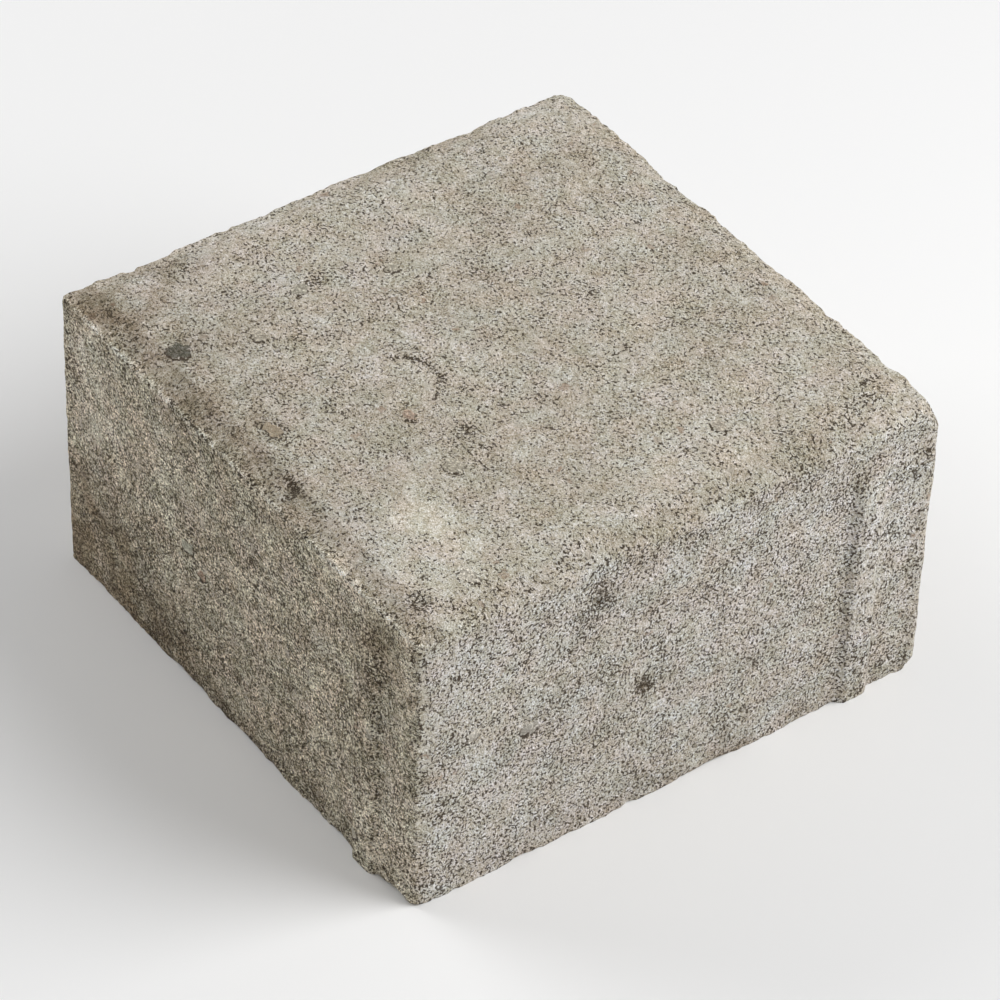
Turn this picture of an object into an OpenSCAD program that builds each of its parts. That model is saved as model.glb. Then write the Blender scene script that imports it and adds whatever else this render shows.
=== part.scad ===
// Square concrete paving stone with one spacer rib on each side.
// It lies on its bedding face, with the wearing face up. The origin is the middle of the bedding face.

/* [Stone] */
// Length of each side of the square plan, without the ribs
side_length = 140; // [90:1:240]
// Height from the bedding face to the wearing face
stone_height = 80; // [50:1:140]
// Radius of the four upright corners
corner_radius = 2; // [1:0.5:10]

/* [Bevel around the wearing face] */
// Width of the bevel, seen from above
bevel_width = 7.5; // [1:0.5:15]
// Height that the bevel falls over its width
bevel_drop = 2; // [0.5:0.5:8]

/* [Spacer ribs] */
// Distance from a side's right-hand end, seen from outside, to the middle of its rib
rib_offset = 18; // [16:1:44]
// Width of a rib where it leaves the side
rib_base_width = 10; // [7:0.5:12]
// Width of a rib's flat outer face
rib_crest_width = 6; // [2:0.5:6.5]
// Distance that a rib stands out of the side
rib_projection = 1.6; // [0.5:0.1:3]
// Distance from the foot of the bevel down to the top of a rib
rib_top_gap = 6; // [1:0.5:12]
// Height over which a rib slopes out from the side at its top
rib_lead_in = 10; // [2:1:20]

/* [Hidden] */
half_side = side_length / 2;
bevel_foot = stone_height - bevel_drop;
rib_top = bevel_foot - rib_top_gap;
rib_root = 3;
concrete_colour = [0.63, 0.60, 0.55];
$fn = 64;

// Square with a round at each corner.
module rounded_square(side, radius) {
    straight = side - 2 * radius;
    square([side, straight], center = true);
    square([straight, side], center = true);
    for (x = [-1, 1], y = [-1, 1])
        translate([x * straight / 2, y * straight / 2])
            circle(r = radius);
}

// Side view of the stone, run through its whole length along Y. Its slopes cut the bevels.
module bevelled_slab() {
    rotate([90, 0, 0])
        linear_extrude(height = side_length + 2 * bevel_width, center = true)
            polygon([
                [-half_side - bevel_width, 0],
                [half_side + bevel_width, 0],
                [half_side + bevel_width, bevel_foot - bevel_drop],
                [half_side - bevel_width, stone_height],
                [-half_side + bevel_width, stone_height],
                [-half_side - bevel_width, bevel_foot - bevel_drop]
            ]);
}

module stone_block() {
    intersection() {
        linear_extrude(height = stone_height)
            rounded_square(side_length, corner_radius);
        bevelled_slab();
        rotate([0, 0, 90])
            bevelled_slab();
    }
}

// One rib, standing out along +X from a side at X = 0, with its foot at the bedding face.
// Its side view, which slopes at the top, runs on below that face so that only the plan ends the rib there.
module spacer_rib() {
    intersection() {
        linear_extrude(height = rib_top)
            polygon([
                [-rib_root, -rib_base_width / 2],
                [0, -rib_base_width / 2],
                [rib_projection, -rib_crest_width / 2],
                [rib_projection, rib_crest_width / 2],
                [0, rib_base_width / 2],
                [-rib_root, rib_base_width / 2]
            ]);
        rotate([90, 0, 0])
            linear_extrude(height = 2 * rib_base_width, center = true)
                polygon([
                    [-2 * rib_root, -stone_height],
                    [2 * rib_projection, -stone_height],
                    [2 * rib_projection, rib_top - 2 * rib_lead_in],
                    [0, rib_top],
                    [-2 * rib_root, rib_top]
                ]);
    }
}

module paving_stone() {
    color(concrete_colour)
        union() {
            stone_block();
            for (turn = [0:90:270])
                rotate([0, 0, turn])
                    translate([half_side, half_side - rib_offset, 0])
                        spacer_rib();
        }
}

paving_stone();
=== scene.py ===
import math

import bmesh
import bpy
from mathutils import Matrix, Vector, noise


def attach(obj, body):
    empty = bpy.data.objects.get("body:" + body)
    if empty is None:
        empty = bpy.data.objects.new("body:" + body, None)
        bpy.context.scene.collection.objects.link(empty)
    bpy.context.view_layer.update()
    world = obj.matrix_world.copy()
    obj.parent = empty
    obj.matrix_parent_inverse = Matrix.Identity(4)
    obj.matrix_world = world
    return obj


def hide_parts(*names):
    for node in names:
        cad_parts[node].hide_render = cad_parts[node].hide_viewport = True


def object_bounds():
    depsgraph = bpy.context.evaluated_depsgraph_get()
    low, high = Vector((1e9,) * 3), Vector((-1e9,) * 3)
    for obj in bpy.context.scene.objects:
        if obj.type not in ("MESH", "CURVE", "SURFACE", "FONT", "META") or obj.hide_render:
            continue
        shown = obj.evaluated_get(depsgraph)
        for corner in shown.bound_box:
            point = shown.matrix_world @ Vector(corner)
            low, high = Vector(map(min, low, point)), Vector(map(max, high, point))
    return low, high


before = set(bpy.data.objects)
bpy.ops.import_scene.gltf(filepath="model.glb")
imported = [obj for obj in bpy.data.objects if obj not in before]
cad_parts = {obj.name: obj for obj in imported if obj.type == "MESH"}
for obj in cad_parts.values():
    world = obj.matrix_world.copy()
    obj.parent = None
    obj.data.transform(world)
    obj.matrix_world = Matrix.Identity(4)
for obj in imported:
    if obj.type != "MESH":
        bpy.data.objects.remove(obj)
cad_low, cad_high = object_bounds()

bl_info = {
    "name": "Concrete paving stone",
    "version": (1, 0, 0),
    "blender": (4, 5, 0),
    "location": "View3D > Sidebar > Paving stone",
    "description": "Builds a worn square concrete paving stone with spacer ribs, and a plain studio",
    "category": "Object",
}

MM = 0.001
NODE = "paving_stone"
RIB_STANDS_OUT = 1.6 * MM
BEVEL_FALLS = 2.0 * MM

# The studio: ways from the stone to its lamps, and points that lamps and camera look at.
KEY_WAY = Vector((0.55, 0.55, 0.62))
FILL_WAY = Vector((-0.82, -0.36, 0.45))
LAMP_WIDTH = 1.0
LAMP_DISTANCE = 1.2
LAMPS_AIM = Vector((0, 0, 40 * MM))
CAMERA_AIM = Vector((0, 0, 39 * MM))
SENSOR_WIDTH = 36.0
FLOOR_COLOUR = (0.92, 0.92, 0.92, 1)
FLOOR_ROUGHNESS = 0.9

# Knocks on edges and corners: middle, way out, reach and depth, in millimetres.
KNOCKS = (
    ((-70.0, -52.0, 78.0), (-1, 0, 1), 1.9, 1.5),
    ((-70.0, 70.0, 78.0), (-1, 1, 1), 7.0, 2.0),
    ((70.0, 70.0, 78.0), (1, 1, 1), 11.0, 2.9),
    ((70.0, 61.0, 78.0), (1, 0, 1), 5.0, 0.9),
    ((70.0, -70.0, 78.0), (1, -1, 1), 5.0, 1.3),
    ((70.0, -70.0, 0.0), (1, -1, -1), 6.0, 1.6),
    ((63.5, -70.0, 0.0), (0, -1, -1), 4.5, 1.1),
    ((70.0, 70.0, 0.0), (1, 1, -1), 7.0, 1.6),
    ((52.0, 70.0, 78.0), (0, 1, 1), 3.5, 0.8),
    ((31.0, 70.0, 78.0), (0, 1, 1), 2.5, 0.7),
    ((70.0, 12.0, 0.0), (1, 0, -1), 6.0, 0.7),
    ((-22.0, -70.0, 0.0), (0, -1, -1), 5.0, 0.6),
)

# Extra wear of the upright corners, less than 0 where one swells: way, depth and reach.
CORNER_WEAR = (
    ((1, -1), 0.7, 4.0),
    ((1, 1), -0.85, 5.0),
    ((-1, -1), -0.1, 4.0),
)

# Holes left by air at the mould, and small broken places: middle, reach and depth, in millimetres.
AIR_HOLES = (
    ((70.0, -23.1, 67.1), 1.9, 1.8),
    ((70.0, 1.2, 53.5), 1.3, 0.9),
    ((70.0, 29.5, 66.5), 1.2, 0.8),
    ((70.0, -9.0, 34.7), 2.4, 0.7),
    ((-50.0, -70.0, 43.9), 1.8, 1.2),
    ((-59.0, -70.0, 22.3), 1.6, 1.0),
    ((-40.5, -20.0, 80.0), 1.8, 0.8),
    ((20.4, -22.0, 80.0), 1.6, 0.7),
    ((14.0, -63.5, 79.6), 3.0, 1.1),
    ((59.5, -62.5, 80.0), 3.0, 1.1),
)

# Stones showing in the surface: middle, reach in x, y and z, and colour.
PEBBLES = (
    ((-37.2, -59.6, 80.0), (3.2, 2.6, 3.0), (0.056, 0.061, 0.041)),
    ((50.0, 24.4, 80.0), (2.6, 1.6, 2.0), (0.52, 0.46, 0.37)),
    ((-32.4, -42.0, 80.0), (3.0, 1.8, 2.0), (0.50, 0.45, 0.36)),
    ((-35.6, -3.6, 80.0), (2.2, 1.8, 2.0), (0.50, 0.46, 0.37)),
    ((-3.6, -57.2, 80.0), (3.4, 1.7, 2.0), (0.52, 0.42, 0.29)),
    ((9.2, -30.0, 80.0), (2.0, 1.6, 2.0), (0.42, 0.30, 0.22)),
    ((28.4, -31.6, 80.0), (3.0, 2.2, 2.0), (0.46, 0.42, 0.33)),
    ((-40.4, -25.0, 80.0), (2.2, 2.2, 2.0), (0.48, 0.45, 0.36)),
    ((58.8, -49.2, 80.0), (3.0, 2.0, 2.0), (0.60, 0.55, 0.46)),
    ((70.0, -54.8, 44.7), (2.0, 2.0, 1.5), (0.62, 0.58, 0.50)),
    ((70.0, -39.6, 39.0), (2.0, 2.4, 2.0), (0.50, 0.47, 0.41)),
    ((-18.8, -70.0, 40.7), (3.0, 2.0, 1.6), (0.50, 0.50, 0.40)),
    ((-13.2, -70.0, 35.9), (1.8, 2.0, 1.5), (0.38, 0.25, 0.17)),
    ((48.9, -71.5, 7.9), (1.8, 2.0, 1.8), (0.60, 0.56, 0.46)),
)

# Dark patches, most of them old dirt, with painted shade in two air holes: middle, reach in x, y and z
# in millimetres, and strength.
DIRT_AND_SHADE = (
    ((-20.0, -68.0, 80.0), (75.0, 34.0, 4.0), 0.26),
    ((-58.0, -55.0, 80.0), (35.0, 40.0, 4.0), 0.30),
    ((-62.0, -70.0, 78.0), (12.0, 12.0, 5.0), 0.45),
    ((-60.0, -70.0, 0.0), (66.0, 9.0, 36.0), 1.0),
    ((-60.0, -70.0, 22.0), (36.0, 9.0, 22.0), 0.5),
    ((-20.0, -70.0, 0.0), (60.0, 9.0, 16.0), 0.45),
    # These two rows darken the -Y side over its rib and around the rib's top.
    ((57.0, -70.0, 70.0), (10.0, 9.0, 11.0), 0.60),
    ((52.5, -70.0, 50.0), (4.0, 5.0, 26.0), 0.42),
    ((70.0, -20.0, 68.0), (5.0, 5.5, 6.5), 0.45),
    # These two rows are painted shade in the air holes of the +X side.
    ((70.0, -23.1, 67.1), (3.0, 2.0, 2.0), 1.0),
    ((70.0, -9.0, 34.7), (3.0, 2.2, 2.0), 0.9),
    ((70.0, 15.0, 0.0), (6.0, 11.0, 5.0), 0.55),
    ((70.0, 0.0, 0.0), (6.0, 85.0, 18.0), 0.26),
    ((67.0, 15.0, 79.0), (6.0, 70.0, 3.0), 0.16),
    ((70.0, 52.0, 71.0), (5.0, 6.0, 8.0), 0.22),
    ((-70.0, 20.0, 0.0), (9.0, 60.0, 18.0), 0.35),
    ((10.0, 70.0, 0.0), (60.0, 9.0, 14.0), 0.30),
)

# Pale bloom of lime: middle, reach in x, y and z in millimetres, and strength.
BLOOM = (
    ((42.0, -46.0, 80.0), (19.0, 11.0, 4.0), 1.0),
    ((-1.5, -19.5, 80.0), (7.0, 3.0, 3.0), 0.35),
    ((55.0, -55.0, 80.0), (20.0, 16.0, 4.0), 0.38),
    ((60.0, 10.0, 80.0), (22.0, 75.0, 4.0), 0.10),
    ((-57.0, -70.0, 60.0), (11.0, 5.0, 26.0), 0.40),
    ((-30.0, -70.0, 58.0), (12.0, 5.0, 24.0), 0.24),
    ((56.0, -70.0, 14.0), (26.0, 5.0, 26.0), 0.18),
    ((70.0, -48.0, 48.0), (5.0, 16.0, 18.0), 0.16),
    ((68.0, -70.0, 30.0), (6.0, 6.0, 60.0), 0.20),
)

# The open joint beside a pebble, painted dark as the pebble's shadow, lies a little to one side of it,
# in millimetres.
SHADOW_SHIFT = Vector((0.5, -0.4, -0.4))

# Arcs of crooked cracks round large buried stones: middle of the stone, radius and way to the arc.
ARC_CRACKS = (
    ((-0.8, -25.0, 80.0), 8.8, (0, 1, 0)),
    ((14.0, -66.0, 79.5), 2.3, (1, 0.4, 0)),
)

# Shares of red, green and blue that colour the paste slightly.
GREENISH = (0.975, 1.01, 1.0)
ROSY = (1.03, 0.99, 0.985)
DARK_GRAIN_TINT = (1.07, 1.0, 0.80)
LIGHT_GRAIN_TINT = (0.955, 1.0, 1.11)

# Names of the amounts kept at the mesh's points, for the material to read.
AMOUNTS = ("film", "dirt_and_shade", "bloom", "loose", "shade", "rosy", "rims")

# Millimetres that the upper surface is worn down, that the cracks go in, that the stones of the
# list stand out, and that the faces are out of true over a longer distance.
TOP_SINKS = 0.16
CRACK_DEPTH = 0.25
STONES_STAND_OUT = 0.2
OUT_OF_TRUE = 0.2
OUT_OF_TRUE_SPACING = 17.0

# Reach in millimetres of the wear of an edge, of its pale rubbing with a painted highlight, and of a
# crack to each side.
EDGE_REACH = 2.2
RUB_AND_HIGHLIGHT_REACH = 1.6
CRACK_REACH = 1.2

# Strength of the pale rubbing with its painted highlight on the -Y side and elsewhere, and of the grime
# and painted shade on the bevel.
RUBBED_AND_HIGHLIT_IN_FRONT = 1.15
RUBBED_AND_HIGHLIT_ELSEWHERE = 0.2
BEVEL_GRIME_AND_SHADE = 0.30

# Yellow film on the surfaces that face each way.
FILM_BY_WAY = (
    ((0, 0, 1), 0.42),
    ((0, -1, 0), 0.98),
    ((1, 0, 0), 0.12),
    ((-1, 0, 0), 0.35),
    ((0, 1, 0), 0.30),
    ((0, 0, -1), 0.30),
)

# Openness of the paste: on the sides, more of it on the -Y side, in the loose places of the list
# and along the cracks. Bloom fills some of it.
SIDE_OPENNESS = 0.40
FRONT_OPENNESS = 0.06
LOOSE_OPENNESS = 1.5
CRACK_OPENNESS = 1.7
BLOOM_FILLS = 0.8

# Clouds over the surface: size in millimetres, strength and seed.
FILM_CLOUD = (8.0, 0.25, 3.0)
OPENNESS_CLOUD = (10.0, 0.45, 37.0)
ROSY_CLOUD = (6.0, 0.9, 23.0)
RIM_CLOUD = (9.0, 1.0, 29.0)
SHADE_CLOUDS = (
    (5.0, 0.16, 5.0),
    (14.0, 0.10, 11.0),
    (40.0, 0.10, 17.0),
)

# Sizes of the concrete's patterns, in millimetres.
FINE_SAND = 0.30
GRAIN = 0.55
OPEN_PATCH = 0.66
JOINT_SPACING = 0.74
COARSE_SAND = 2.0
STONE_SPACING = 4.2
RIM_SPACING = 6.0

# Widest joint between grains, and the width over which its border fades, in joint spacings.
WIDEST_JOINT = 0.29
JOINT_FADE = 0.14

# Strength of the light and dark of each size of sand.
FINE_STRENGTH = 2.05
GRAIN_STRENGTH = 0.48
COARSE_STRENGTH = 0.80

# How strongly that shows: on clean paste, and how much more in dirt with its painted shade and under a
# thick film.
PASTE_CONTRAST = 1.02
DIRT_AND_SHADE_CONTRAST = 0.5
FILM_CONTRAST = 2.9

# Light of even paste, and how well bright grains, small stones, bloom with the painted edge highlight,
# dirt with its painted shade, and the painted shade of the holes cover it.
PASTE_LIGHT = 1.03
GRAIN_COVER = 0.45
STONE_COVER = 0.6
BLOOM_COVER = 0.75
DIRT_AND_SHADE_COVER = 1.15
HOLE_SHADE_COVER = 0.97

# Heights of the finest relief, in millimetres.
FINE_HEIGHT = 0.30
COARSE_HEIGHT = 0.40
GRAIN_HEIGHT = 0.14
JOINT_DEPTH = 0.32

# Places where the paste is missing between the grains: middle, reach and strength.
LOOSE = (
    ((14.0, -64.0, 80.0), (7.0, 5.0, 3.0), 0.9),
    ((60.0, -62.0, 80.0), (6.0, 5.0, 3.0), 0.9),
    ((-41.0, -20.0, 80.0), (5.0, 7.0, 3.0), 0.8),
    ((20.4, -22.0, 80.0), (4.0, 4.0, 3.0), 0.8),
    ((62.0, 50.0, 80.0), (7.0, 22.0, 3.0), 0.35),
    ((-37.0, -60.0, 80.0), (7.0, 6.0, 3.0), 0.5),
    ((-3.0, -57.0, 80.0), (7.0, 5.0, 3.0), 0.5),
    ((70.0, -22.0, 67.0), (4.0, 8.0, 8.0), 0.7),
    ((70.0, -9.0, 35.0), (4.0, 5.0, 5.0), 0.7),
    ((70.0, 10.0, 76.0), (4.0, 80.0, 5.0), 0.12),
    ((0.0, -70.0, 2.0), (90.0, 5.0, 7.0), 0.3),
)


class StoneShape(bpy.types.PropertyGroup):
    side_length: bpy.props.FloatProperty(
        name="Side length",
        description="Length of each side, without the ribs",
        default=cad_high.x - cad_low.x - 2 * RIB_STANDS_OUT,
        unit="LENGTH",
    )
    stone_height: bpy.props.FloatProperty(
        name="Height",
        description="Height from the bedding face to the wearing face",
        default=cad_high.z - cad_low.z,
        unit="LENGTH",
    )
    corner_radius: bpy.props.FloatProperty(
        name="Corner radius",
        description="Radius of the four upright corners",
        default=1.0 * MM,
        unit="LENGTH",
    )
    bevel_width: bpy.props.FloatProperty(
        name="Bevel width",
        description="Width of the bevel around the wearing face",
        default=7.5 * MM,
        unit="LENGTH",
    )
    bevel_drop: bpy.props.FloatProperty(
        name="Bevel drop",
        description="Height that the bevel falls over its width",
        default=BEVEL_FALLS,
        unit="LENGTH",
    )
    rib_offset: bpy.props.FloatProperty(
        name="Rib offset",
        description="Distance from a side's right-hand end to the middle of its rib",
        default=18.0 * MM,
        unit="LENGTH",
    )
    rib_base_width: bpy.props.FloatProperty(
        name="Rib base width",
        description="Width of a rib where it leaves the side",
        default=10.0 * MM,
        unit="LENGTH",
    )
    rib_crest_width: bpy.props.FloatProperty(
        name="Rib crest width",
        description="Width of a rib's outer face",
        default=6.0 * MM,
        unit="LENGTH",
    )
    rib_projection: bpy.props.FloatProperty(
        name="Rib projection",
        description="Distance that a rib stands out of the side",
        default=RIB_STANDS_OUT,
        unit="LENGTH",
    )
    rib_top_gap: bpy.props.FloatProperty(
        name="Rib top gap",
        description="Distance from the foot of the bevel down to the top of a rib",
        default=6.0 * MM,
        unit="LENGTH",
    )
    rib_lead_in: bpy.props.FloatProperty(
        name="Rib lead-in",
        description="Height over which a rib slopes out at its top",
        default=10.0 * MM,
        unit="LENGTH",
    )
    cells_along: bpy.props.IntProperty(
        name="Cells along",
        description="Mesh cells along each side",
        default=150,
        min=20,
        max=400,
    )
    cells_up: bpy.props.IntProperty(
        name="Cells up",
        description="Mesh cells over the height",
        default=84,
        min=10,
        max=300,
    )
    edge_wear: bpy.props.FloatProperty(
        name="Edge wear",
        description="Depth of the crumbling along the edges",
        default=0.8 * MM,
        unit="LENGTH",
    )
    side_relief: bpy.props.FloatProperty(
        name="Side relief",
        description="Depth of the open texture of the sides",
        default=0.25 * MM,
        unit="LENGTH",
    )
    top_relief: bpy.props.FloatProperty(
        name="Top relief",
        description="Depth of the texture of the wearing face",
        default=0.15 * MM,
        unit="LENGTH",
    )


class StoneFinish(bpy.types.PropertyGroup):
    paste_colour: bpy.props.FloatVectorProperty(
        name="Cement paste",
        description="Colour of clean cement paste",
        default=(0.590, 0.557, 0.516),
        subtype="COLOR",
        min=0,
        max=1,
    )
    film_colour: bpy.props.FloatVectorProperty(
        name="Yellow film",
        description="Colour of paste under the yellowish film of weather",
        default=(0.546, 0.475, 0.349),
        subtype="COLOR",
        min=0,
        max=1,
    )
    # Painted shade deep in the open pores, joints and holes.
    pore_shade_colour: bpy.props.FloatVectorProperty(
        name="Pores",
        description="Colour deep in the pores",
        default=(0.056, 0.037, 0.019),
        subtype="COLOR",
        min=0,
        max=1,
    )
    # This colour also darkens the painted shade on the -Y bevel and in two air holes.
    dirt_and_shade_colour: bpy.props.FloatVectorProperty(
        name="Dirt",
        description="Share of each colour that the dirt lets through",
        default=(0.50, 0.44, 0.36),
        subtype="COLOR",
        min=0,
        max=1,
    )
    # This colour also paints the highlight along the rubbed upper edges.
    bloom_colour: bpy.props.FloatVectorProperty(
        name="Bloom",
        description="Colour of the pale lime bloom",
        default=(0.70, 0.65, 0.545),
        subtype="COLOR",
        min=0,
        max=1,
    )
    rust_colour: bpy.props.FloatVectorProperty(
        name="Rusty grains",
        description="Colour of the rustiest small stones",
        default=(0.36, 0.235, 0.15),
        subtype="COLOR",
        min=0,
        max=1,
    )
    grain_colour: bpy.props.FloatVectorProperty(
        name="Bright grains",
        description="Colour of the brightest sand grains",
        default=(0.60, 0.56, 0.48),
        subtype="COLOR",
        min=0,
        max=1,
    )


class StudioSettings(bpy.types.PropertyGroup):
    floor_width: bpy.props.FloatProperty(
        name="Floor width",
        description="Width of the square floor",
        default=6.0,
        unit="LENGTH",
    )
    key_power: bpy.props.FloatProperty(
        name="Key light",
        description="Power of the large soft light behind the stone",
        default=13.5,
        unit="POWER",
    )
    fill_power: bpy.props.FloatProperty(
        name="Fill light",
        description="Power of the soft light at the stone's left",
        default=7.9,
        unit="POWER",
    )
    room_light: bpy.props.FloatProperty(
        name="Room light",
        description="Strength of the even light from all round",
        default=0.26,
    )
    camera_azimuth: bpy.props.FloatProperty(
        name="Camera azimuth",
        description="Turn of the camera around the stone, from the -Y side towards +X",
        default=math.radians(53.03),
        unit="ROTATION",
    )
    camera_elevation: bpy.props.FloatProperty(
        name="Camera elevation",
        description="Angle of the camera above the floor",
        default=math.radians(41.30),
        unit="ROTATION",
    )
    camera_roll: bpy.props.FloatProperty(
        name="Camera roll",
        description="Turn of the camera about its own axis",
        default=math.radians(2.0),
        unit="ROTATION",
    )
    camera_distance: bpy.props.FloatProperty(
        name="Camera distance",
        description="Distance from the camera to the middle of the stone",
        default=1.1288,
        unit="LENGTH",
    )
    camera_slide: bpy.props.FloatVectorProperty(
        name="Camera slide",
        description="Distances that the camera is slid to its right and up",
        default=(2.0 * MM, -3.9 * MM),
        size=2,
        unit="LENGTH",
    )
    camera_lens: bpy.props.FloatProperty(
        name="Camera lens",
        description="Focal length in millimetres",
        default=178.48,
    )


class Wire:
    """A socket of a material's nodes. Arithmetic on it adds Math nodes."""

    def __init__(self, tree, socket=None):
        self.tree = tree
        self.socket = socket

    def make(self, kind, inputs=(), output=0, **settings):
        """Adds a node of any kind: its settings first, then the values or links of its sockets."""
        node = self.tree.nodes.new(kind)
        for name, value in settings.items():
            setattr(node, name, value)
        for key, value in dict(inputs).items():
            socket = node.inputs[key]
            if isinstance(value, Wire):
                self.tree.links.new(value.socket, socket)
            elif socket.type == "RGBA":
                socket.default_value = (*value, 1)
            else:
                socket.default_value = value
        return Wire(self.tree, node.outputs[output] if node.outputs else None)

    def sibling(self, output):
        """Another output of the same node."""
        return Wire(self.tree, self.socket.node.outputs[output])

    def maths(self, operation, *others):
        """A Math node whose first value is this one."""
        inputs = dict(enumerate((self, *others)))
        return self.make("ShaderNodeMath", inputs, operation=operation)

    def __add__(self, other):
        return self.maths("ADD", other)

    def __mul__(self, other):
        return self.maths("MULTIPLY", other)

    def __sub__(self, other):
        return self.maths("SUBTRACT", other)

    def __rsub__(self, other):
        return self.make("ShaderNodeMath", {0: other, 1: self}, operation="SUBTRACT")

    def vector(self, operation, other=None, output=0, **more):
        """A Vector Math node whose first vector is this one."""
        inputs = {0: self}
        if other is not None:
            inputs[1] = other
        inputs.update(more)
        return self.make("ShaderNodeVectorMath", inputs, output, operation=operation)

    def ease(self, low, high, start=0.0, end=1.0):
        """Smooth step from start to end while the value goes from low to high."""
        inputs = {"Value": self, 1: low, 2: high, 3: start, 4: end}
        return self.make("ShaderNodeMapRange", inputs, interpolation_type="SMOOTHSTEP")

    def blend(self, first, second):
        """Mixes two colours by this value."""
        inputs = {0: self, 6: first, 7: second}
        return self.make("ShaderNodeMix", inputs, 2, data_type="RGBA")


def cloud(place, size, detail=2.0, roughness=0.5, output=0):
    """Soft noise from 0 to 1 whose blobs are about size millimetres apart."""
    inputs = {"Vector": place, "Scale": 1 / size, "Detail": detail, "Roughness": roughness}
    return place.make("ShaderNodeTexNoise", inputs, output)


def cells(place, size, feature="F1"):
    """Distances in Voronoi cells about size millimetres across."""
    inputs = {"Vector": place, "Scale": 1 / size, "Randomness": 1.0}
    return place.make("ShaderNodeTexVoronoi", inputs, "Distance", feature=feature)


def draws(cell):
    """Three random numbers from 0 to 1 that are the same all over a cell."""
    red = cell.make("ShaderNodeSeparateColor", {0: cell.sibling("Color")})
    return red, red.sibling(1), red.sibling(2)


def distance_share(place, middle, reach):
    """0 at the middle of an ellipsoid and 1 at its reach, both in millimetres."""
    offset = place.vector("SUBTRACT", middle)
    return offset.vector("DIVIDE", reach).vector("LENGTH", output="Value")


def moved_about(place, size, detail, strength):
    """The place, moved by noise, so that the patterns that read it have crooked outlines."""
    sway = cloud(place, size, detail, output="Color").vector("SUBTRACT", (0.5, 0.5, 0.5))
    return place.vector("ADD", sway.vector("SCALE", Scale=strength))


def paste_openness(place, amounts):
    """How open the paste is. Curved lines of open paste follow the rims of buried stones."""
    winding = (cloud(place, RIM_SPACING, 1.0) - 0.5).maths("ABSOLUTE").ease(0.03, 0.0) * amounts["rims"]
    return cloud(place, OPEN_PATCH, 1.0, 0.5) + amounts["loose"] * 0.13 + winding * 0.16


def open_joints(openness, gap, grain_lost):
    """1 in the joints whose paste has gone, and where whole grains are missing."""
    width = openness.ease(0.515, 0.73, -0.02, WIDEST_JOINT)
    joints = (width - gap).ease(0.0, JOINT_FADE)
    lost = grain_lost.ease(0.80, 0.86) * openness.ease(0.50, 0.58)
    return joints.maths("MAXIMUM", lost * 0.9)


def weathered_paste(sand, amounts, finish):
    """Cement paste under its film and bloom, with the painted highlight of the rubbed edges, lighter
    and darker from grain to grain.
    """
    film = amounts["film"]
    thick_film = (film - 0.5).maths("MAXIMUM", 0.0)
    contrast = amounts["dirt_and_shade"] * DIRT_AND_SHADE_CONTRAST + thick_film * FILM_CONTRAST + PASTE_CONTRAST
    light = (sand + amounts["shade"]) * contrast + PASTE_LIGHT
    paste = film.blend(finish["paste"], finish["film"])
    # The bloom mix also paints the highlight of the rubbed upper edges.
    paste = (amounts["bloom"] * BLOOM_COVER).blend(paste, finish["bloom"])
    blush = amounts["rosy"].blend(GREENISH, ROSY)
    tint = light.ease(0.3, 1.7).blend(DARK_GRAIN_TINT, LIGHT_GRAIN_TINT).vector("MULTIPLY", blush)
    return paste.vector("MULTIPLY", tint).vector("SCALE", Scale=light)


def small_stones(place, shaded, finish):
    """Adds small pale and rusty stones at random. Returns the colour, and 1 on the stones."""
    cell = cells(place, STONE_SPACING)
    pick, rustiness, _ = draws(cell)
    stones = cell.ease(0.26, 0.20) * pick.ease(0.80, 0.86) * STONE_COVER
    return stones.blend(shaded, rustiness.blend(finish["grain"], finish["rust"])), stones


def large_stones(place, shaded, hole_shade, sand, fine, openness):
    """Adds the stones of the list, each with an open joint to one side painted dark as its shadow.
    Returns colour and the painted hole shade.
    """
    speckle = (sand * 1.1 + 1.45).maths("MAXIMUM", 0.1)
    cover = fine.ease(0.66, 0.40, 0.45, 0.92)
    joint = openness.ease(0.36, 0.50)
    for middle, reach, tone in PEBBLES:
        inside = distance_share(place, middle, reach).ease(1.0, 0.82)
        # Painted shadow: a dark crescent at one side of each pebble, where the paste is open.
        shadow = distance_share(place, Vector(middle) + SHADOW_SHIFT, reach)
        body = place.make("ShaderNodeVectorMath", {0: tone, "Scale": speckle}, operation="SCALE")
        shaded = (inside * cover).blend(shaded, body)
        hole_shade = hole_shade.maths("MAXIMUM", shadow.ease(1.12, 0.96) * joint) * (1 - inside * 0.6)
    return shaded, hole_shade


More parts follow.
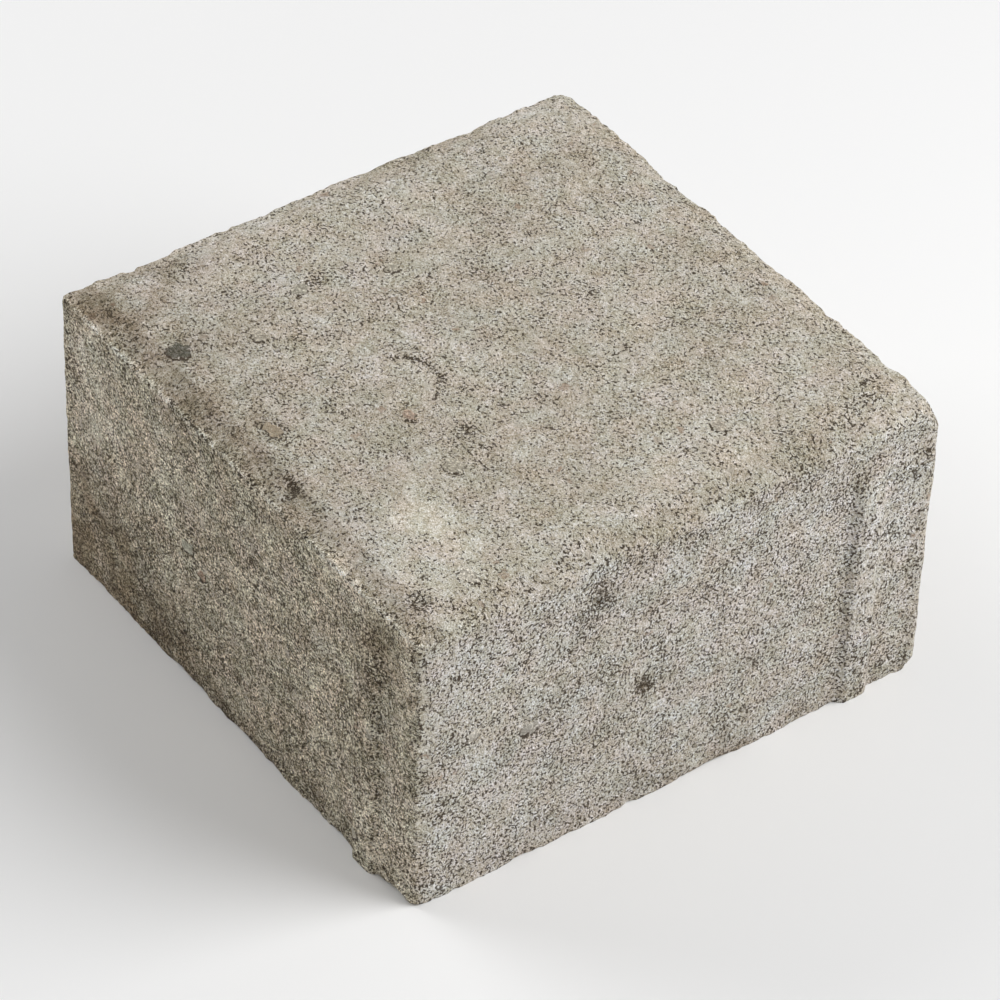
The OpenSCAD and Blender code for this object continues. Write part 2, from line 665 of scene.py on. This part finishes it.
def concrete(finish):
    """Concrete with sand grains, open pores painted with shade, old stains with some painted shade, and
    the painted edge highlight, in millimetres of the stone's own space.
    """
    material = bpy.data.materials.new("worn_concrete")
    material.use_nodes = True
    tree = material.node_tree
    tree.nodes.clear()
    start = Wire(tree)
    amounts = {
        name: start.make("ShaderNodeAttribute", output="Fac", attribute_name=name)
        for name in AMOUNTS
    }
    place = start.make("ShaderNodeTexCoord", output="Object").vector("SCALE", Scale=1 / MM)
    grain_place = moved_about(place, 0.7, 0.0, 0.85)
    stone_place = moved_about(place, 1.9, 1.0, 3.2)

    openness = paste_openness(place, amounts)
    gap = cells(grain_place, JOINT_SPACING, "DISTANCE_TO_EDGE")
    grain_tone, grain_pick, grain_lost = draws(cells(grain_place, GRAIN))
    joints = open_joints(openness, gap, grain_lost)
    fine = cloud(place, FINE_SAND, 1.0, 0.7)
    coarse = cloud(place, COARSE_SAND, 2.0, 0.6)
    sand = (grain_tone - 0.5) * GRAIN_STRENGTH + (fine - 0.5) * FINE_STRENGTH
    sand = sand + (coarse - 0.5) * COARSE_STRENGTH

    shaded = weathered_paste(sand, amounts, finish)
    shaded = (grain_pick.ease(0.86, 0.95) * GRAIN_COVER).blend(shaded, finish["grain"])
    shaded, stones = small_stones(stone_place, shaded, finish)
    # Dirt, with painted shade on the -Y bevel and in two air holes, darkens the colour.
    soiled_and_shaded = shaded.vector("MULTIPLY", finish["dirt_and_shade"])
    shaded = (amounts["dirt_and_shade"] * DIRT_AND_SHADE_COVER).blend(shaded, soiled_and_shaded)
    hole_shade = joints * (1 - stones)
    shaded, hole_shade = large_stones(stone_place, shaded, hole_shade, sand, fine, openness)
    # Painted shade: the open pores and joints, and the crescents beside the pebbles, take the dark
    # colour of shade.
    colour = (hole_shade * HOLE_SHADE_COVER).blend(shaded, finish["pore_shade"])

    relief = fine * FINE_HEIGHT + coarse * COARSE_HEIGHT
    relief = relief + gap.ease(0.0, 0.4) * GRAIN_HEIGHT - joints * JOINT_DEPTH
    bump = start.make("ShaderNodeBump", {"Height": relief, "Distance": MM, "Strength": 1.0})
    surface = start.make(
        "ShaderNodeBsdfPrincipled",
        {"Base Color": colour, "Roughness": 0.92, "Normal": bump},
    )
    start.make("ShaderNodeOutputMaterial", {"Surface": surface})
    return material


def spread(t):
    """Moves grid lines from the middle towards -1 and 1, where the edges need them."""
    return t * (1.2 - 0.2 * t * t)


def within_one(amount):
    """The amount, kept from 0 to 1."""
    return min(max(amount, 0.0), 1.0)


def falloff(distance, reach):
    """1 at no distance, falling smoothly to 0 at the reach."""
    share = max(0.0, 1.0 - distance / reach)
    return share * share * (3 - 2 * share)


def rough(point, size, evenness, octaves, shift=(0, 0, 0)):
    """Fractal noise around 0 at a point, with blobs about size millimetres apart."""
    return noise.fractal(point / MM / size + Vector(shift), evenness, 2.0, octaves)


def share_of_reach(point, middle, reach):
    """0 at the middle of an ellipsoid and 1 at its reach, both in millimetres."""
    offset = point / MM - Vector(middle)
    return math.hypot(offset.x / reach[0], offset.y / reach[1], offset.z / reach[2])


def gridded_block(cells_along, cells_up):
    """A bmesh cube from -1 to 1, cut into a grid."""
    bm = bmesh.new()
    bmesh.ops.create_cube(bm, size=2.0)
    for axis, count in enumerate((cells_along, cells_along, cells_up)):
        edges = [e for e in bm.edges if abs(e.verts[0].co[axis] - e.verts[1].co[axis]) > 1.0]
        bmesh.ops.subdivide_edges(bm, edges=edges, cuts=count - 1, use_grid_fill=True)
    return bm


def rib_push(shape, along, up):
    """How far a rib stands out at a distance from the side's right-hand end, and a height."""
    flank = (shape.rib_base_width - shape.rib_crest_width) / 2
    across = (shape.rib_base_width / 2 - abs(along - shape.rib_offset)) / flank
    rib_top = shape.stone_height - shape.bevel_drop - shape.rib_top_gap
    rise = (rib_top - up) / shape.rib_lead_in
    return shape.rib_projection * within_one(across) * within_one(rise)


def cast_point(shape, grid):
    """Where a point of the gridded block lies on the stone as it leaves the mould."""
    half = shape.side_length / 2
    foot = shape.stone_height - shape.bevel_drop
    x, y = half * spread(grid.x), half * spread(grid.y)
    z = foot * (spread(grid.z) + 1) / 2
    if grid.z > 0.9999:
        inset = half - max(abs(x), abs(y))
        z = foot + shape.bevel_drop * min(inset / shape.bevel_width, 1.0)
    centre = half - shape.corner_radius
    corner = Vector((max(abs(x) - centre, 0.0), max(abs(y) - centre, 0.0)))
    if corner.x > 0 and corner.y > 0:
        corner *= max(corner) / corner.length
        x = math.copysign(centre + corner.x, x)
        y = math.copysign(centre + corner.y, y)
    for turn in range(4):
        out = Vector((1, 0, 0))
        out.rotate(Matrix.Rotation(turn * math.pi / 2, 3, "Z"))
        right = Vector((-out.y, out.x, 0))
        if out.dot(grid) > 0.9999:
            push = rib_push(shape, half - Vector((x, y, z)).dot(right), z)
            x += push * out.x
            y += push * out.y
    return Vector((x, y, z))


def top_at(shape, point):
    """Height of the moulded upper surface over a point."""
    inset = shape.side_length / 2 - max(abs(point.x), abs(point.y))
    share = within_one(inset / shape.bevel_width)
    return shape.stone_height - shape.bevel_drop * (1 - share)


def outward(shape, point):
    """Direction out of the stone, which turns smoothly from face to face over each edge."""
    half = shape.side_length / 2
    blend = 1.5 * MM
    total = Vector()
    for normal, gap in (
        (Vector((1, 0, 0)), half - point.x),
        (Vector((-1, 0, 0)), half + point.x),
        (Vector((0, 1, 0)), half - point.y),
        (Vector((0, -1, 0)), half + point.y),
        (Vector((0, 0, 1)), top_at(shape, point) - point.z),
        (Vector((0, 0, -1)), point.z),
    ):
        total += normal * math.exp(-max(gap, 0.0) / blend)
    return total.normalized()


def edge_closeness(shape, point):
    """1 on the upper and lower edges and less on the upright ones, falling to 0 inwards."""
    half = shape.side_length / 2
    foot = shape.stone_height - shape.bevel_drop
    gap_x, gap_y = abs(half - abs(point.x)), abs(half - abs(point.y))
    side_gap = min(gap_x, gap_y)
    upright = math.hypot(gap_x, gap_y) / MM
    level = min(math.hypot(side_gap, point.z - foot), math.hypot(side_gap, point.z)) / MM
    return falloff(level, EDGE_REACH) + 0.3 * falloff(upright, EDGE_REACH)


def corner_change(shape, point):
    """Extra wear of the upright corners, in millimetres."""
    half = shape.side_length / 2
    wear = 0.0
    for (way_x, way_y), depth, reach in CORNER_WEAR:
        away = math.hypot(way_x * half - point.x, way_y * half - point.y) / MM
        wear += depth * falloff(away, reach)
    return wear


def crumbling(shape, point):
    """Depth that has crumbled away along the edges."""
    closeness = edge_closeness(shape, point)
    if closeness == 0:
        return 0.0
    crumbs = rough(point, 2.4, 0.7, 3, (7, 3, 9))
    bites = noise.noise(point / MM / 9 + Vector((31, 5, 2)))
    return shape.edge_wear * closeness * (0.15 + 0.42 * crumbs + 0.8 * bites)


def hole_depth(point):
    """Depth in millimetres of the air hole that a point is in."""
    depth = 0.0
    for middle, reach, deepest in AIR_HOLES:
        away = (point / MM - Vector(middle)).length
        if away < reach * 1.5:
            away *= 1 + 0.35 * noise.noise(point / MM / 1.7)
            depth += deepest * falloff(away, reach)
    return depth


def stone_swelling(point):
    """Height in millimetres that the stones of the list stand out of the paste."""
    swelling = 0.0
    for middle, reach, _ in PEBBLES:
        swelling += STONES_STAND_OUT * falloff(share_of_reach(point, middle, reach), 1.1)
    return swelling


def wear_depth(shape, point):
    """How much the weather has taken off at a point of the surface."""
    on_top = point.z > shape.stone_height - shape.bevel_drop * 1.2
    relief = shape.top_relief if on_top else shape.side_relief
    sunk = TOP_SINKS if on_top else 0.0
    depth = sunk + OUT_OF_TRUE * noise.noise(point / MM / OUT_OF_TRUE_SPACING)
    depth += corner_change(shape, point) + CRACK_DEPTH * arc_crack(point)
    depth += hole_depth(point) - stone_swelling(point)
    return depth * MM + relief * 0.5 * rough(point, 2.3, 0.6, 3) + crumbling(shape, point)


def knocked(point):
    """Cuts a point back to the hollow of each knock that it stands out of."""
    for middle, way, reach, depth in KNOCKS:
        out = Vector(way).normalized()
        offset = point / MM - Vector(middle)
        if offset.length > reach * 2:
            continue
        along = offset.dot(out)
        off_axis = max(offset.length_squared - along * along, 0.0)
        hollow = -depth * (1 - off_axis / (reach * reach)) + 0.3 * rough(point, 2.0, 0.7, 3)
        if along > hollow:
            point = point - out * (along - hollow) * MM
    return point


def amount_at(point, places, patchiness):
    """Adds up soft patches at a point, from 0 to 1, with ragged borders."""
    ragged = 1 + patchiness * rough(point, 6.0, 0.8, 4)
    clean = 1.0
    for middle, reach, strength in places:
        patch = strength * falloff(share_of_reach(point, middle, reach), 1.0)
        clean *= 1 - within_one(patch * ragged)
    return 1 - clean


def rubbing_and_highlight_at(shape, point):
    """Pale rubbing along the upper edges with a painted highlight where the rounded edge catches the
    light, strongest on the -Y side.
    """
    half = shape.side_length / 2
    below = point.z - shape.stone_height + shape.bevel_drop
    gap = math.hypot(half - max(abs(point.x), abs(point.y)), below) / MM
    strength = RUBBED_AND_HIGHLIT_IN_FRONT if -point.y > 0.97 * half else RUBBED_AND_HIGHLIT_ELSEWHERE
    return strength * falloff(gap, RUB_AND_HIGHLIGHT_REACH) * (0.75 + 0.7 * noise.noise(point / MM / 4))


def bevel_grime_and_shade(shape, point):
    """Dirt on the bevel at the -Y side, with painted shade where the bevel turns away from the light;
    it stops at the bevel's inner line.
    """
    inset = (shape.side_length / 2 + point.y) / MM
    width = shape.bevel_width / MM
    if point.z < shape.stone_height - shape.bevel_drop or inset > width + 1:
        return 0.0
    ragged = 0.4 * rough(point, 3.0, 1.0, 2)
    return BEVEL_GRIME_AND_SHADE * falloff(max(inset - width + 0.8 + ragged, 0.0), 1.4)


def arc_crack(point):
    """1 on the arcs of crooked cracks round the large buried stones."""
    crack = 0.0
    for middle, radius, way in ARC_CRACKS:
        offset = point / MM - Vector(middle)
        if abs(offset.z) < 3 and offset.dot(Vector(way).normalized()) > 0.3 * radius:
            crack = max(crack, falloff(abs(offset.xy.length - radius), CRACK_REACH))
    return crack


def cloudiness(point, size, strength, seed):
    """Soft noise around 0, with blobs about size millimetres apart and its own seed."""
    return strength * rough(point, size, 1.0, 2, (seed, 2 * seed, 3 * seed))


def openness_at(point, out, bloom):
    """How much more open than usual the paste is at a point whose surface faces out."""
    openness = SIDE_OPENNESS * (1 - max(out.z, 0.0)) + FRONT_OPENNESS * max(-out.y, 0.0)
    openness += LOOSE_OPENNESS * amount_at(point, LOOSE, 0.6)
    openness += CRACK_OPENNESS * arc_crack(point)
    return openness + cloudiness(point, *OPENNESS_CLOUD) - BLOOM_FILLS * bloom


def amounts_at(shape, point, out):
    """The amounts of the list at a point whose surface faces out, for the material to read."""
    film = sum(share * max(out.dot(Vector(way)), 0.0) for way, share in FILM_BY_WAY)
    film += cloudiness(point, *FILM_CLOUD)
    bloom = amount_at(point, BLOOM, 0.6)
    rubbed_and_highlit = max(rubbing_and_highlight_at(shape, point), 0.0)
    dirt_and_shade = amount_at(point, DIRT_AND_SHADE, 0.9) + bevel_grime_and_shade(shape, point)
    return (
        within_one(film),
        min(dirt_and_shade * (1 - min(rubbed_and_highlit, 1.0)), 1.0),
        # Bloom, with the painted highlight of the rubbed edges added to it.
        within_one(bloom + rubbed_and_highlit),
        openness_at(point, out, bloom),
        sum(cloudiness(point, *shade) for shade in SHADE_CLOUDS),
        within_one(0.5 + cloudiness(point, *ROSY_CLOUD)),
        falloff(0.35 - cloudiness(point, *RIM_CLOUD), 0.35),
    )


def stone_mesh(shape):
    """The worn stone as a mesh, with the amounts of the list kept at its points."""
    bm = gridded_block(shape.cells_along, shape.cells_up)
    for vertex in bm.verts:
        vertex.co = cast_point(shape, vertex.co)
    rows = []
    for vertex in bm.verts:
        point = vertex.co.copy()
        out = outward(shape, point)
        rows.append(amounts_at(shape, point, out))
        worn = knocked(point - out * wear_depth(shape, point))
        for axis in range(3):
            worn[axis] = min(max(worn[axis], cad_low[axis]), cad_high[axis])
        vertex.co = worn
    bmesh.ops.recalc_face_normals(bm, faces=bm.faces)
    mesh = bpy.data.meshes.new("worn_stone")
    bm.to_mesh(mesh)
    bm.free()
    for name, values in zip(AMOUNTS, zip(*rows)):
        mesh.attributes.new(name, "FLOAT", "POINT").data.foreach_set("value", values)
    mesh.polygons.foreach_set("use_smooth", [True] * len(mesh.polygons))
    return mesh


class OBJECT_OT_worn_paving_stone(bpy.types.Operator):
    """Build the worn paving stone in place of the plain solid"""

    bl_idname = "object.worn_paving_stone"
    bl_label = "Worn paving stone"
    bl_options = {"REGISTER", "UNDO"}

    def execute(self, context):
        shape = context.scene.stone_shape
        finish = context.scene.stone_finish
        stone = bpy.data.objects.new("worn_stone", stone_mesh(shape))
        context.scene.collection.objects.link(stone)
        colours = {
            "paste": finish.paste_colour,
            "film": finish.film_colour,
            "pore_shade": finish.pore_shade_colour,
            "dirt_and_shade": finish.dirt_and_shade_colour,
            "bloom": finish.bloom_colour,
            "grain": finish.grain_colour,
            "rust": finish.rust_colour,
        }
        stone.data.materials.append(concrete(colours))
        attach(stone, "root")
        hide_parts(NODE)
        return {"FINISHED"}


def aimed(position, target, roll=0.0):
    """A placement at position whose -Z looks at target, with the top tilted by roll."""
    back = (position - target).normalized()
    across = Vector((0, 0, 1)).cross(back).normalized()
    up = back.cross(across)
    turned = across * math.cos(roll) + up * math.sin(roll)
    raised = up * math.cos(roll) - across * math.sin(roll)
    placed = Matrix((turned, raised, back)).transposed().to_4x4()
    placed.translation = position
    return placed


def soft_light(scene, name, power, direction):
    """A large round lamp in a direction from the stone, aimed at it."""
    lamp = bpy.data.lights.new(name, "AREA")
    lamp.shape = "DISK"
    lamp.size = LAMP_WIDTH
    lamp.energy = power
    holder = bpy.data.objects.new(name, lamp)
    holder.matrix_world = aimed(LAMPS_AIM + direction.normalized() * LAMP_DISTANCE, LAMPS_AIM)
    scene.collection.objects.link(holder)


def studio_floor(scene, width):
    """A pale square floor at the stone's foot."""
    bm = bmesh.new()
    bmesh.ops.create_grid(bm, x_segments=1, y_segments=1, size=width / 2)
    mesh = bpy.data.meshes.new("studio_floor")
    bm.to_mesh(mesh)
    bm.free()
    floor = bpy.data.objects.new("studio_floor", mesh)
    scene.collection.objects.link(floor)
    pale = bpy.data.materials.new("pale_floor")
    pale.use_nodes = True
    shader = pale.node_tree.nodes["Principled BSDF"]
    shader.inputs["Base Color"].default_value = FLOOR_COLOUR
    shader.inputs["Roughness"].default_value = FLOOR_ROUGHNESS
    mesh.materials.append(pale)


def room_air(scene, strength):
    """Even white light from all round."""
    world = bpy.data.worlds.new("studio_air")
    world.use_nodes = True
    air = world.node_tree.nodes["Background"]
    air.inputs["Color"].default_value = (1, 1, 1, 1)
    air.inputs["Strength"].default_value = strength
    scene.world = world


def place_camera(scene, settings):
    """A camera at its azimuth and elevation, looking at the middle of the stone."""
    lens = bpy.data.cameras.new("camera")
    lens.lens = settings.camera_lens
    lens.sensor_width = SENSOR_WIDTH
    camera = bpy.data.objects.new("camera", lens)
    azimuth, elevation = settings.camera_azimuth, settings.camera_elevation
    level = Vector((math.sin(azimuth), -math.cos(azimuth), 0))
    back = level * math.cos(elevation) + Vector((0, 0, math.sin(elevation)))
    placed = aimed(back, Vector((0, 0, 0)), settings.camera_roll)
    across, up = placed.col[0].xyz, placed.col[1].xyz
    slide = across * settings.camera_slide[0] + up * settings.camera_slide[1]
    placed.translation = CAMERA_AIM + back * settings.camera_distance + slide
    camera.matrix_world = placed
    scene.collection.objects.link(camera)
    scene.camera = camera


class SCENE_OT_stone_studio(bpy.types.Operator):
    """Build the pale floor, the soft lights and the camera"""

    bl_idname = "scene.stone_studio"
    bl_label = "Stone studio"
    bl_options = {"REGISTER", "UNDO"}

    def execute(self, context):
        scene = context.scene
        settings = scene.studio_settings
        studio_floor(scene, settings.floor_width)
        soft_light(scene, "key_light", settings.key_power, KEY_WAY)
        soft_light(scene, "fill_light", settings.fill_power, FILL_WAY)
        room_air(scene, settings.room_light)
        place_camera(scene, settings)
        scene.view_settings.view_transform = "Standard"
        return {"FINISHED"}


class VIEW3D_PT_paving_stone(bpy.types.Panel):
    bl_idname = "VIEW3D_PT_paving_stone"
    bl_label = "Paving stone"
    bl_space_type = "VIEW_3D"
    bl_region_type = "UI"
    bl_category = "Paving stone"

    def draw(self, context):
        for group in (
            context.scene.stone_shape,
            context.scene.stone_finish,
            context.scene.studio_settings,
        ):
            box = self.layout.box()
            for name in group.__annotations__:
                box.prop(group, name)
        self.layout.operator(OBJECT_OT_worn_paving_stone.bl_idname)
        self.layout.operator(SCENE_OT_stone_studio.bl_idname)


CLASSES = (
    StoneShape,
    StoneFinish,
    StudioSettings,
    OBJECT_OT_worn_paving_stone,
    SCENE_OT_stone_studio,
    VIEW3D_PT_paving_stone,
)


def register():
    for cls in CLASSES:
        bpy.utils.register_class(cls)
    bpy.types.Scene.stone_shape = bpy.props.PointerProperty(type=StoneShape)
    bpy.types.Scene.stone_finish = bpy.props.PointerProperty(type=StoneFinish)
    bpy.types.Scene.studio_settings = bpy.props.PointerProperty(type=StudioSettings)


def unregister():
    del bpy.types.Scene.studio_settings
    del bpy.types.Scene.stone_finish
    del bpy.types.Scene.stone_shape
    for cls in reversed(CLASSES):
        bpy.utils.unregister_class(cls)


def main():
    register()
    bpy.ops.object.worn_paving_stone()
    bpy.ops.scene.stone_studio()


if __name__ == "__main__":
    main()
